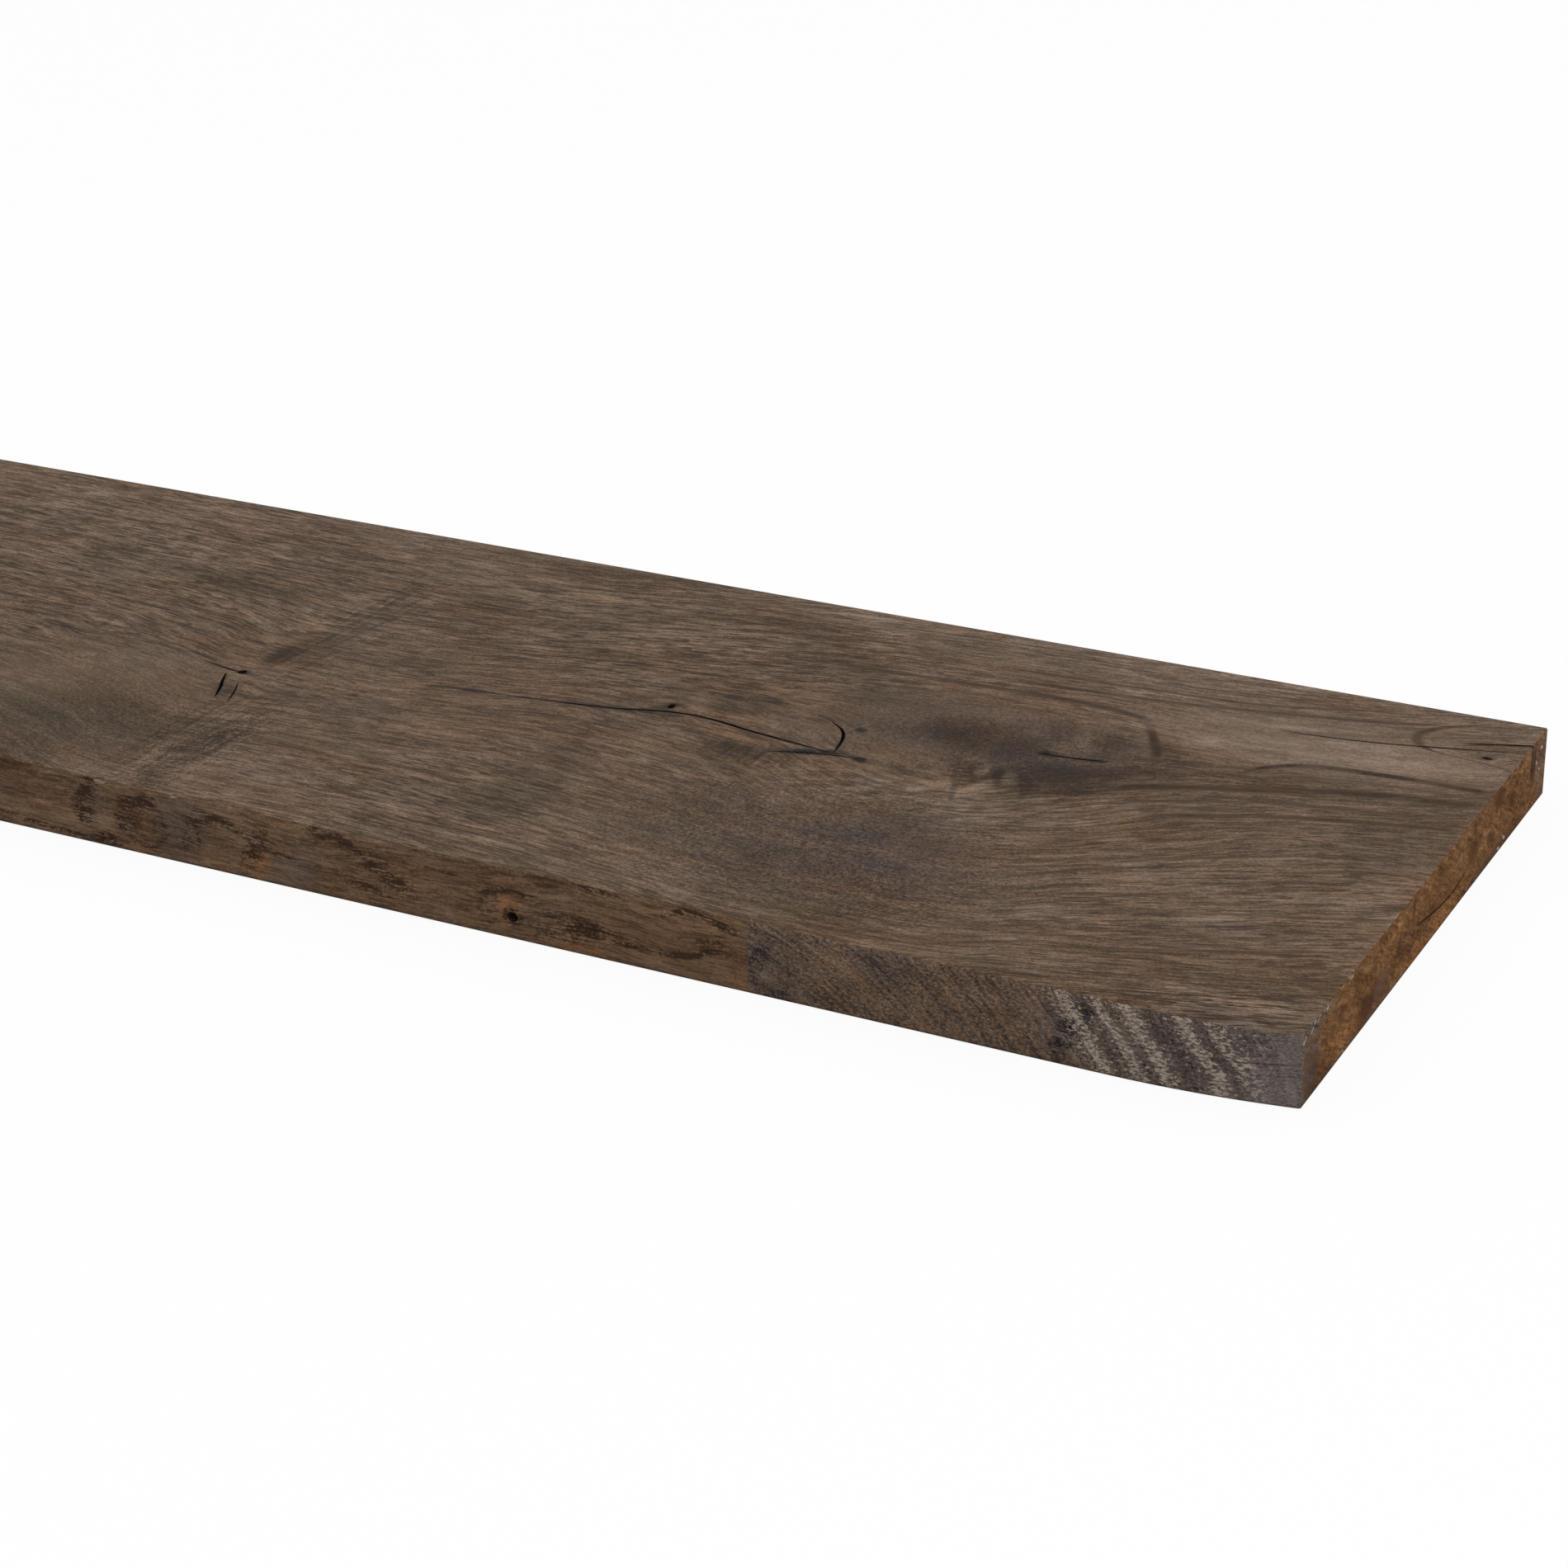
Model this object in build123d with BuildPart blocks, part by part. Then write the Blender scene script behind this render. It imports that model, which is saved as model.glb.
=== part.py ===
from build123d import *
import os

# Reclaimed oak plank: one solid board, lying flat on its planed underside.
# Millimetres. +X runs along the grain to the sawn end, +Y across to the far edge, +Z up.
# The origin is the middle of the underside.

# Board
length = 1200.0
width = 200.0
thickness = 20.0

# Arrises: the near top one is rubbed round, the far and end ones are only broken
near_arris_radius = 1.5
other_arris_radius = 0.5

# Near corner of the sawn end, where the edge is worn in and the wear reaches further along the foot
corner_inset = 4.4
corner_run_top = 24.0
corner_run_foot = 46.0

# Cracks in the top face. Each line runs through points measured from the sawn end
# (minus is into the board) and from the board's centreline (plus is towards the far edge).
shake_line = ((-262, -1.5), (-241, 1.7), (-219, 7), (-196, 4), (-168, 0))
shake_opening = 1.0
shake_depth = 6.0

heart_line = ((-187, -6), (-175, -2), (-160, 0.5))
heart_opening = 0.7
heart_depth = 4.0

hook_line = ((-180, 19.6), (-174.4, 15), (-171.8, 9.5), (-170, 1.2))
hook_opening = 0.9
hook_depth = 7.0

star_lines = (
    ((-355, -23.5), (-352.4, -29), (-350, -33.5), (-347.4, -39.5)),
    ((-347.5, -28), (-344.4, -34.5), (-342, -41)),
    ((-367, -18.5), (-359, -20.2), (-351, -21.5)),
)
star_openings = (1.0, 0.5, 0.5)
star_depth = 5.0

stain_line = ((-120, 24.3), (-111, 25), (-99, 27.2))
stain_opening = 0.8
stain_depth = 3.0

hairline = ((-66, 67), (-48, 68.5), (-25, 73.5), (-1.5, 80))
hairline_opening = 0.5
hairline_depth = 2.5

# Drying check that runs out through the sawn end: it is at its deepest there, so the line
# carries on past the end by as much again
check_run = 17.0
check_offset = 86.0
check_drift = 6.0
check_opening = 0.8
check_depth = 11.0

# Ring shake in the sawn end, measured from the centreline and from the underside
ring_shake_line = ((-13, 10.2), (3, 7.3), (18, 6.1), (28, 7.6))
ring_shake_opening = 0.6
ring_shake_depth = 4.0

# Pin knots whose loose centres have dropped out and left oval pits that narrow to the floor
pin_knot_depth = 3.0
pin_knot_floor_share = 0.5
# from the sawn end, from the centreline, size along the board, size across it
heart_pin_knot = (-225.8, 10, 2.0, 3.2)
corner_pin_knot = (-8.8, 72.7, 3.0, 1.4)
star_pin_knot = (-351, -21, 2.6, 3.0)
# from the sawn end, from the underside, size along the board, size up it
edge_pin_knot = (-211.5, 6.4, 3.4, 2.8)

# Chips knocked out of the top arrises: a shallow scoop of one radius, by its place and its bite
chip_radius = 6.0
near_chips = ((-342, 0.5), (-318, 0.25))
end_chips = ((-63, 0.35), (-81, 0.45))

# How far a cutter stands out past the surface that it opens
cutter_overrun = 1.0

end_x = length / 2
near_y = -width / 2

# Each of these has its origin on the sawn end, and its Z axis points out of the wood
top_face = Plane(origin=(end_x, 0, thickness), x_dir=(1, 0, 0), z_dir=(0, 0, 1))
sawn_end = Plane(origin=(end_x, 0, 0), x_dir=(0, 1, 0), z_dir=(1, 0, 0))
near_edge = Plane(origin=(end_x, near_y, 0), x_dir=(1, 0, 0), z_dir=(0, -1, 0))


def corner_wear_outline(run):
    """Plan of the wood lost at the worn corner, where the wear reaches that far along the edge."""
    past_end = end_x + cutter_overrun
    outside = near_y - cutter_overrun
    worn_y = near_y + corner_inset
    start_x = end_x - run
    with BuildLine() as outline:
        TangentArc((start_x, near_y), (end_x, worn_y), tangent=(1, 0))
        Polyline(
            (end_x, worn_y), (past_end, worn_y), (past_end, outside), (start_x, outside), (start_x, near_y)
        )
    return outline.line


def crack(face, points, opening, depth):
    """A crack along the points on that face: a sliver in plan, shut at both tips, and a keel in
    section, deepest halfway along."""
    tips = [face.from_local_coords(point) for point in (points[0], points[-1])]
    run = (tips[1] - tips[0]).length
    mouth = Plane(origin=(tips[0] + tips[1]) / 2, x_dir=tips[1] - tips[0], z_dir=face.z_dir)
    line = [mouth.to_local_coords(face.from_local_coords(point)) for point in points]
    lip = Vector(0, opening / 2)
    half = run / 2
    with BuildPart() as cutter:
        with BuildSketch(Plane.XY.offset(-depth)):
            with BuildLine():
                Spline(line[0], *[point + lip for point in line[1:-1]], line[-1])
                Spline(line[0], *[point - lip for point in line[1:-1]], line[-1])
            make_face()
        extrude(amount=depth + cutter_overrun)
        with BuildSketch(Plane.XZ):
            with BuildLine():
                ThreePointArc((half, 0), (0, -depth), (-half, 0))
                Polyline((-half, 0), (-half, cutter_overrun), (half, cutter_overrun), (half, 0))
            make_face()
        extrude(amount=run, both=True, mode=Mode.INTERSECT)
    return mouth.location * cutter.part


def chip_centre(arris, outward, arris_radius, bite):
    """Centre of the ball that scoops that bite out of a rounded arris. The arris is a point on it
    as it was before it was rounded, and the ball comes from above and from the outward side."""
    rounded_away = arris_radius * (2 ** 0.5 - 1)
    stand_off = (Vector(*outward) + Vector(0, 0, 1)).normalized() * (chip_radius - bite - rounded_away)
    return Vector(*arris) + stand_off


def pin_knot(face, place):
    """The tapered oval pit of a pin knot at that place on the face."""
    from_end, offset, along, across = place
    floor = pin_knot_floor_share / 2
    with BuildPart() as cutter:
        with BuildSketch(Plane.XY.offset(-pin_knot_depth)):
            Ellipse(along * floor, across * floor)
        with BuildSketch(Plane.XY):
            Ellipse(along / 2, across / 2)
        loft()
        extrude(cutter.faces().sort_by(Axis.Z)[-1], amount=cutter_overrun)
    return face.location * Location((from_end, offset, 0)) * cutter.part


# Wood lost at the worn corner, from its outline at the foot to its outline at the top
with BuildPart() as corner_wear:
    with BuildSketch(Plane.XY):
        make_face(corner_wear_outline(corner_run_foot).edges())
    with BuildSketch(Plane.XY.offset(thickness)):
        make_face(corner_wear_outline(corner_run_top).edges())
    loft(ruled=True)

with BuildPart() as plank:
    # Board with its corner worn away
    with BuildSketch(Plane.XY):
        Rectangle(length, width)
    extrude(amount=thickness)
    add(corner_wear.part, mode=Mode.SUBTRACT)

    # Arrises: the near one first, then all that are left together
    top_edges = plank.edges().group_by(Axis.Z)[-1]
    near_top_edges = top_edges.filter_by(lambda edge: edge.center().Y < near_y + corner_inset / 2)
    fillet(near_top_edges, radius=near_arris_radius)
    sharp_edges = plank.edges().filter_by(GeomType.LINE).filter_by(lambda edge: edge.center().Y > near_y / 2)
    foot_edges = plank.edges().group_by(Axis.Z)[0]
    fillet(sharp_edges + foot_edges, radius=other_arris_radius)

    # Cracks in the top face
    add(crack(top_face, shake_line, shake_opening, shake_depth), mode=Mode.SUBTRACT)
    add(crack(top_face, heart_line, heart_opening, heart_depth), mode=Mode.SUBTRACT)
    add(crack(top_face, hook_line, hook_opening, hook_depth), mode=Mode.SUBTRACT)
    for star_line, star_opening in zip(star_lines, star_openings):
        add(crack(top_face, star_line, star_opening, star_depth), mode=Mode.SUBTRACT)
    add(crack(top_face, stain_line, stain_opening, stain_depth), mode=Mode.SUBTRACT)
    add(crack(top_face, hairline, hairline_opening, hairline_depth), mode=Mode.SUBTRACT)

    # Cracks in the sawn end
    check_line = (
        (-check_run, check_offset - check_drift),
        (-check_run / 2, check_offset - check_drift / 2),
        (check_run / 2, check_offset + check_drift / 2),
        (check_run, check_offset + check_drift),
    )
    add(crack(top_face, check_line, check_opening, check_depth), mode=Mode.SUBTRACT)
    add(crack(sawn_end, ring_shake_line, ring_shake_opening, ring_shake_depth), mode=Mode.SUBTRACT)

    # Chips
    for from_end, bite in near_chips:
        arris = (end_x + from_end, near_y, thickness)
        with Locations(chip_centre(arris, (0, -1, 0), near_arris_radius, bite)):
            Sphere(chip_radius, mode=Mode.SUBTRACT)
    for offset, bite in end_chips:
        arris = (end_x, offset, thickness)
        with Locations(chip_centre(arris, (1, 0, 0), other_arris_radius, bite)):
            Sphere(chip_radius, mode=Mode.SUBTRACT)

    # Pin knots
    add(pin_knot(top_face, heart_pin_knot), mode=Mode.SUBTRACT)
    add(pin_knot(top_face, corner_pin_knot), mode=Mode.SUBTRACT)
    add(pin_knot(top_face, star_pin_knot), mode=Mode.SUBTRACT)
    add(pin_knot(near_edge, edge_pin_knot), mode=Mode.SUBTRACT)

plank.part.label = "plank"

os.makedirs("parts", exist_ok=True)
export_step(plank.part, "parts/plank.step")
print("plank", round(plank.part.volume / 1000, 1), "cm3", plank.part.bounding_box().size)
print("valid", plank.part.is_valid, "solids", len(plank.part.solids()))
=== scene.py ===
import bpy, math
from mathutils import Euler, Matrix, Vector


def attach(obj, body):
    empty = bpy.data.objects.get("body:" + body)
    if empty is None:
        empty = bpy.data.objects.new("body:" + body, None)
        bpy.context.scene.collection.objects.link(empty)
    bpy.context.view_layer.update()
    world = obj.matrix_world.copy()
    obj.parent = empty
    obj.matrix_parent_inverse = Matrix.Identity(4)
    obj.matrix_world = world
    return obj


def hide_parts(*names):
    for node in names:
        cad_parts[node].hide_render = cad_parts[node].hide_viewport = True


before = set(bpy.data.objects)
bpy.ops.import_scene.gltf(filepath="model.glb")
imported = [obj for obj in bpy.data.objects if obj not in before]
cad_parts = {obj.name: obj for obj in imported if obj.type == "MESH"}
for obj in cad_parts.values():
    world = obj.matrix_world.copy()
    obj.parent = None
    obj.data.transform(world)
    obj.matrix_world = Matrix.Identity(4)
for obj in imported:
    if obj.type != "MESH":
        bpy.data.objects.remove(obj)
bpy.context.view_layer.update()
mm = 0.001


def deselectAll():
    for obj in list(bpy.context.selected_objects):
        obj.select_set(False)


def makeActive(obj):
    deselectAll()
    obj.select_set(True)
    bpy.context.view_layer.objects.active = obj


def applyModifier(obj, kind, **settings):
    makeActive(obj)
    modifier = obj.modifiers.new(kind.lower(), kind)
    for name, value in settings.items():
        setattr(modifier, name, value)
    bpy.ops.object.modifier_apply(modifier=modifier.name)


def selectWhere(obj, what, wanted):
    # selects the points, edges or faces whose places, in millimetres, pass the test
    bpy.ops.mesh.select_mode(type={"points": 'VERT', "edges": 'EDGE', "faces": 'FACE'}[what])
    bpy.ops.mesh.select_all(action='DESELECT')
    bpy.ops.object.mode_set(mode='OBJECT')
    spots = [point.co / mm for point in obj.data.vertices]
    if what == "points":
        for point, spot in zip(obj.data.vertices, spots):
            point.select = bool(wanted(spot))
    elif what == "edges":
        for edge in obj.data.edges:
            edge.select = bool(wanted(spots[edge.vertices[0]], spots[edge.vertices[1]]))
    else:
        for face in obj.data.polygons:
            face.select = bool(wanted(face.center / mm, face.normal))
    bpy.ops.object.mode_set(mode='EDIT')


# Millimetres. fromEnd is measured from the sawn end (minus is into the board), and offset from the
# middle of the width (plus is towards the far edge).
board = {
    "length": 1200, "width": 200, "thickness": 20,
    "nearArris": 1.5, "otherArris": 0.5,
    "cornerInset": 4.4, "cornerRunTop": 24, "cornerRunFoot": 46,
    "shownFrom": -560,          # plain board beyond this
    "roughFrom": -143,          # the near edge was never planed from here to the end
    # cracks in the top: (fromEnd, offset) points, opening, depth
    "cracks": [
        (((-262, -1.5), (-241, 1.7), (-219, 7), (-196, 4), (-168, 0)), 1.0, 6),
        (((-187, -6), (-175, -2), (-160, 0.5)), 0.7, 4),
        (((-180, 19.6), (-174.4, 15), (-171.8, 9.5), (-170, 1.2)), 0.9, 7),
        (((-355, -23.5), (-352.4, -29), (-350, -33.5), (-347.4, -39.5)), 1.0, 5),
        (((-347.5, -28), (-344.4, -34.5), (-342, -41)), 0.5, 5),
        (((-367, -18.5), (-359, -20.2), (-351, -21.5)), 0.5, 5),
        (((-120, 24.3), (-111, 25), (-99, 27.2)), 0.8, 3),
        (((-66, 67), (-48, 68.5), (-25, 73.5), (-1.5, 80)), 0.5, 2.5),
        (((-17, 80), (-8.5, 83), (8.5, 89), (17, 92)), 0.8, 11),
    ],
    "endCrack": (((-13, 10.2), (3, 7.3), (18, 6.1), (28, 7.6)), 0.4, 4),      # (offset, height) points
    # fromEnd, offset or height, reach along the board, reach across or up it
    "pinKnots": [(-225.8, 10, 2.0, 3.2), (-8.8, 72.7, 3.0, 1.4), (-351, -21, 2.6, 3.0)],
    "edgePinKnot": (-211.5, 6.4, 3.4, 2.8),
    "pinKnotDepth": 3,
    "chipRadius": 6,
    "nearChips": [(-342, 0.5), (-318, 0.25)],       # fromEnd, how far the chip bites into the near arris
    "endChips": [(-63, 0.35), (-81, 0.45)],         # offset, the same at the top arris of the sawn end
    # relief of the torn edge and of the saw's marks: depth, the pattern's turn, its size in x, y and z
    "roughRelief": (0.30, (0, 58, 0), (1.2, 1, 2.8)),
    "sawRelief": (0.16, (-33, 0, 0), (1, 9, 1.1)),
    "alongCuts": (52, 103, 71), "acrossCuts": 49, "edgeCuts": 9, "reliefCuts": 3,
    "smoothAngle": 35,
}
endX, nearY, topZ = board["length"] / 2, -board["width"] / 2, board["thickness"]


def buildBoard():
    deselectAll()
    bpy.ops.mesh.primitive_cube_add(size=1, location=(0, 0, topZ / 2 * mm),
                                    scale=(board["length"] * mm, board["width"] * mm, topZ * mm))
    piece = bpy.context.active_object
    piece.name = "oakBoard"
    bpy.ops.object.transform_apply(location=True, rotation=True, scale=True)
    bpy.ops.object.mode_set(mode='EDIT')

    # the near arris is rubbed round, the others are only broken
    def nearTop(a, b):
        return min(a.z, b.z) > topZ - 2 and max(a.y, b.y) < nearY + 2
    selectWhere(piece, "edges", lambda a, b: abs(a.x - b.x) > 100 and nearTop(a, b))
    bpy.ops.mesh.bevel(offset=board["nearArris"] * mm, segments=5, profile=0.5)
    selectWhere(piece, "edges", lambda a, b: abs(a.x - b.x) > 100 and not nearTop(a, b))
    bpy.ops.mesh.bevel(offset=board["otherArris"] * mm, segments=2, profile=0.5)
    selectWhere(piece, "edges", lambda a, b: min(abs(a.x), abs(b.x)) > endX - 0.1 and abs(a.x - b.x) < 1)
    bpy.ops.mesh.bevel(offset=board["otherArris"] * mm, segments=2, profile=0.5)

    # bands along the board, finer towards the sawn end, and rows across it
    for fromEnd in (board["shownFrom"], board["roughFrom"]):
        bpy.ops.mesh.select_all(action='SELECT')
        bpy.ops.mesh.bisect(plane_co=((endX + fromEnd) * mm, 0, 0), plane_no=(1, 0, 0))
    breaks = (-board["length"], board["shownFrom"], board["roughFrom"], 0)
    for start, stop, cuts in zip(breaks, breaks[1:], board["alongCuts"]):
        selectWhere(piece, "edges", lambda a, b: abs(a.x - b.x) > 100
                    and endX + start - 1 < min(a.x, b.x) and max(a.x, b.x) < endX + stop + 1)
        bpy.ops.mesh.subdivide(number_cuts=cuts)
    selectWhere(piece, "edges", lambda a, b: abs(a.y - b.y) > 100)
    bpy.ops.mesh.subdivide(number_cuts=board["acrossCuts"])

    # worn corner: the end of the near edge is pushed in, from further back along the foot
    for atFoot, reach in ((False, board["cornerRunTop"]), (True, board["cornerRunFoot"])):
        selectWhere(piece, "points", lambda spot: (spot.z < topZ / 2) != atFoot)
        bpy.ops.mesh.hide(unselected=False)
        selectWhere(piece, "points", lambda spot: (spot.z < topZ / 2) == atFoot
                    and spot.x > endX - 0.7 and spot.y < nearY + 1.7)
        bpy.ops.transform.translate(value=(0, board["cornerInset"] * mm, 0), use_proportional_edit=True,
                                    proportional_edit_falloff='SHARP', proportional_size=reach * mm)
        bpy.ops.mesh.reveal(select=False)

    # rows up the edges, and a finer mesh where the saw and the weather left relief
    selectWhere(piece, "edges", lambda a, b: abs(a.z - b.z) > 10)
    bpy.ops.mesh.subdivide(number_cuts=board["edgeCuts"])
    selectWhere(piece, "faces", lambda c, n: n.y < -0.6 and c.x > endX + board["roughFrom"]
                and board["otherArris"] < c.z < topZ - board["nearArris"])
    bpy.ops.mesh.subdivide(number_cuts=board["reliefCuts"])
    selectWhere(piece, "faces", lambda c, n: n.x > 0.9
                and board["otherArris"] < c.z < topZ - board["otherArris"])
    bpy.ops.mesh.subdivide(number_cuts=board["reliefCuts"])
    bpy.ops.object.mode_set(mode='OBJECT')
    return piece


def roughen(piece, name, inside, pattern, depth, turn, size):
    # sinks the points that pass the test by up to that depth, in a pattern turned and sized by an empty
    group = piece.vertex_groups.new(name=name)
    group.add([point.index for point in piece.data.vertices if inside(point.co / mm)], 1.0, 'REPLACE')
    bpy.ops.object.empty_add()
    guide = bpy.context.active_object
    turn = Euler([math.radians(angle) for angle in turn])
    guide.matrix_world = Matrix.LocRotScale(None, turn, Vector(size) * mm)
    applyModifier(piece, 'DISPLACE', texture=pattern, texture_coords='OBJECT', texture_coords_object=guide,
                  direction='NORMAL', mid_level=1.0, strength=depth * mm, vertex_group=name)
    bpy.data.objects.remove(guide)
    piece.vertex_groups.remove(piece.vertex_groups[name])


def addRelief(piece):
    fibres = bpy.data.textures.new("weatheredFibres", 'CLOUDS')
    fibres.noise_scale, fibres.noise_depth = 1.0, 3
    roughen(piece, "rough", lambda spot: spot.y < nearY + board["cornerInset"] + 0.2
            and endX + board["roughFrom"] + 0.5 < spot.x < endX - 0.8 and 1.0 < spot.z < topZ - 2.0,
            fibres, *board["roughRelief"])
    marks = bpy.data.textures.new("sawMarks", 'CLOUDS')
    marks.noise_scale, marks.noise_depth = 1.0, 2
    roughen(piece, "sawn", lambda spot: spot.x > endX - 0.01 and 1.0 < spot.z < topZ - 1.0
            and nearY + board["cornerInset"] + 0.8 < spot.y < -nearY - 1.0,
            marks, *board["sawRelief"])


def crackCutter(line, opening, depth):
    # a lens of that opening and depth laid along the line, with its mouth at z 0
    curve = bpy.data.curves.new("crackLine", 'CURVE')
    curve.dimensions = '2D'
    curve.resolution_u = 24
    spline = curve.splines.new('BEZIER')
    spline.bezier_points.add(len(line) - 1)
    for knot, (x, y) in zip(spline.bezier_points, line):
        knot.co = (x * mm, y * mm, 0)
        knot.handle_left_type = knot.handle_right_type = 'AUTO'
    path = bpy.data.objects.new("crackLine", curve)
    bpy.context.collection.objects.link(path)
    run = spline.calc_length()
    deselectAll()
    # 14 segments keep the mouth clear of the sphere's own points
    bpy.ops.mesh.primitive_uv_sphere_add(segments=14, ring_count=max(20, int(run / mm / 1.2)), radius=1,
                                         location=(run / 2, 0, 0), rotation=(0, math.pi / 2, 0),
                                         scale=(depth * mm, opening / 2 * mm, run / 2))
    cutter = bpy.context.active_object
    bpy.ops.object.transform_apply(location=True, rotation=True, scale=True)
    applyModifier(cutter, 'CURVE', object=path, deform_axis='POS_X')
    bpy.data.objects.remove(path)
    return cutter


def pitCutter(along, across, deep):
    deselectAll()
    bpy.ops.mesh.primitive_uv_sphere_add(segments=22, ring_count=13, radius=1,
                                         scale=(along / 2 * mm, across / 2 * mm, deep * mm))
    bpy.ops.object.transform_apply(location=False, rotation=False, scale=True)
    return bpy.context.active_object


def setDown(cutter, x, y, z, turnX=0, turnZ=0):
    turn = Matrix.Rotation(math.radians(turnZ), 4, 'Z') @ Matrix.Rotation(math.radians(turnX), 4, 'X')
    cutter.matrix_world = Matrix.Translation(Vector((x, y, z)) * mm) @ turn
    return cutter


def carve(piece, cutters, wall):
    # joins the cutters and takes them out of the piece; their faces bring the wall material
    deselectAll()
    for cutter in cutters:
        cutter.select_set(True)
    bpy.context.view_layer.objects.active = cutters[0]
    bpy.ops.object.join()
    cutters[0].data.materials.append(bpy.data.materials[wall])
    applyModifier(piece, 'BOOLEAN', operation='DIFFERENCE', solver='MANIFOLD', material_mode='TRANSFER',
                  object=cutters[0])
    bpy.data.objects.remove(cutters[0])


def carveCracks(piece):
    cutters = [setDown(crackCutter(*crack), endX, 0, topZ) for crack in board["cracks"]]
    cutters.append(setDown(crackCutter(*board["endCrack"]), endX, 0, 0, turnX=90, turnZ=90))
    for fromEnd, offset, along, across in board["pinKnots"]:
        cutters.append(setDown(pitCutter(along, across, board["pinKnotDepth"]), endX + fromEnd, offset, topZ))
    fromEnd, height, along, up = board["edgePinKnot"]
    pit = pitCutter(along, up, board["pinKnotDepth"])
    cutters.append(setDown(pit, endX + fromEnd, nearY, height, turnX=90))
    carve(piece, cutters, "crackWall")

    # a chip is a ball that bites into the arris along its slope of 45 degrees
    def ballPlace(arris, bite):
        return arris * (1 - math.sqrt(0.5)) - (board["chipRadius"] - bite) * math.sqrt(0.5)
    ball = board["chipRadius"] * 2
    cutters = []
    for fromEnd, bite in board["nearChips"]:
        inset = ballPlace(board["nearArris"], bite)
        cutters.append(setDown(pitCutter(ball, ball, ball / 2), endX + fromEnd, nearY + inset, topZ - inset))
    for offset, bite in board["endChips"]:
        inset = ballPlace(board["otherArris"], bite)
        cutters.append(setDown(pitCutter(ball, ball, ball / 2), endX - inset, offset, topZ - inset))
    carve(piece, cutters, "chipped")


def newMaterial(name, roughness, specular):
    # the nodes that are put next go into this material
    global tree
    material = bpy.data.materials.new(name)
    material.use_nodes = True
    tree = material.node_tree
    finish = tree.nodes["Principled BSDF"]
    finish.inputs["Roughness"].default_value = roughness
    finish.inputs["Specular IOR Level"].default_value = specular
    return finish


def put(kind, sockets=None, **settings):
    # adds a node. sockets maps an input's name or number to a value or to another node's output.
    node = tree.nodes.new("ShaderNode" + kind)
    for name, value in settings.items():
        setattr(node, name, value)
    for name, value in (sockets or {}).items():
        if isinstance(value, bpy.types.NodeSocket):
            tree.links.new(value, node.inputs[name])
        else:
            node.inputs[name].default_value = value
    return node


def calc(operation, a, b=0.0, c=0.0, clamp=False):
    return put("Math", {0: a, 1: b, 2: c}, operation=operation, use_clamp=clamp).outputs[0]


def times(first, *others, clamp=False):
    # the product of the values
    for number, other in enumerate(others, 1):
        first = calc('MULTIPLY', first, other, clamp=clamp and number == len(others))
    return first


def vec(operation, a, b=(0, 0, 0), c=(0, 0, 0)):
    return put("VectorMath", {0: a, 1: b, 2: c}, operation=operation).outputs[0]


def apart(vector):
    return put("SeparateXYZ", {0: vector}).outputs


def joined(x, y, z=0.0):
    return put("CombineXYZ", {0: x, 1: y, 2: z}).outputs[0]


def fit(value, low, high, toLow=0.0, toHigh=1.0, smooth=False):
    node = put("MapRange", {0: value, 1: low, 2: high, 3: toLow, 4: toHigh},
               interpolation_type='SMOOTHSTEP' if smooth else 'LINEAR')
    return node.outputs[0]


def cloud(vector, scale, detail=2.0, rough=0.5, seed=0.0):
    # noise in the three directions stretched by scale, a size per millimetre
    spot = vec('MULTIPLY_ADD', vector, scale, (seed * 7.31, seed * 3.17, seed * 5.93))
    return put("TexNoise", {"Vector": spot, "Scale": 1.0, "Detail": detail, "Roughness": rough}).outputs["Fac"]


def dot(vector, other):
    return put("VectorMath", {0: vector, 1: other}, operation='DOT_PRODUCT').outputs["Value"]


def turned(vector, degrees):
    # the same place read on axes turned anticlockwise
    c, s = math.cos(math.radians(degrees)), math.sin(math.radians(degrees))
    return joined(dot(vector, (c, s, 0)), dot(vector, (-s, c, 0)), dot(vector, (0, 0, 1)))


def swing(level, shares):
    # the level plus each share of a noise, counted from the middle of the noise
    for noise, share in shares:
        level = calc('ADD', level, times(calc('SUBTRACT', noise, 0.5), share))
    return level


def tint(amount, under, over):
    node = put("Mix", data_type='RGBA')
    for socket, value in ((node.inputs[0], amount), (node.inputs[6], under), (node.inputs[7], over)):
        if isinstance(value, bpy.types.NodeSocket):
            tree.links.new(value, socket)
        else:
            socket.default_value = value
    return node.outputs[2]


def hairlines(noise, strength):
    # thin lines where the noise crosses its middle
    return fit(calc('ABSOLUTE', calc('SUBTRACT', noise, 0.5)), 0.034, 0.004, 0.0, strength)


def washed(base, amount, level, dark, light):
    # lays a colour over the base that keeps the light and dark of the wood under it
    return tint(amount, base, tint(level, dark, light))


def rgb(r, g, b):
    # screen values 0 to 255 as a linear colour
    return tuple(((v / 255 + 0.055) / 1.055) ** 2.4 if v > 10 else v / 255 / 12.92 for v in (r, g, b)) + (1.0,)


def stops(level, colours):
    # the colours from level 0 to 1, dark first
    under = colours[0]
    step = 1 / (len(colours) - 1)
    for number, over in enumerate(colours[1:]):
        under = tint(fit(level, number * step, (number + 1) * step), under, over)
    return under


def fromPlace(vector, placeX, placeY, along, across):
    # the way from a place, counted in its reach along and across
    return vec('MULTIPLY_ADD', vector, (1 / along, 1 / across, 0), (-placeX / along, -placeY / across, 0))


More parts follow.
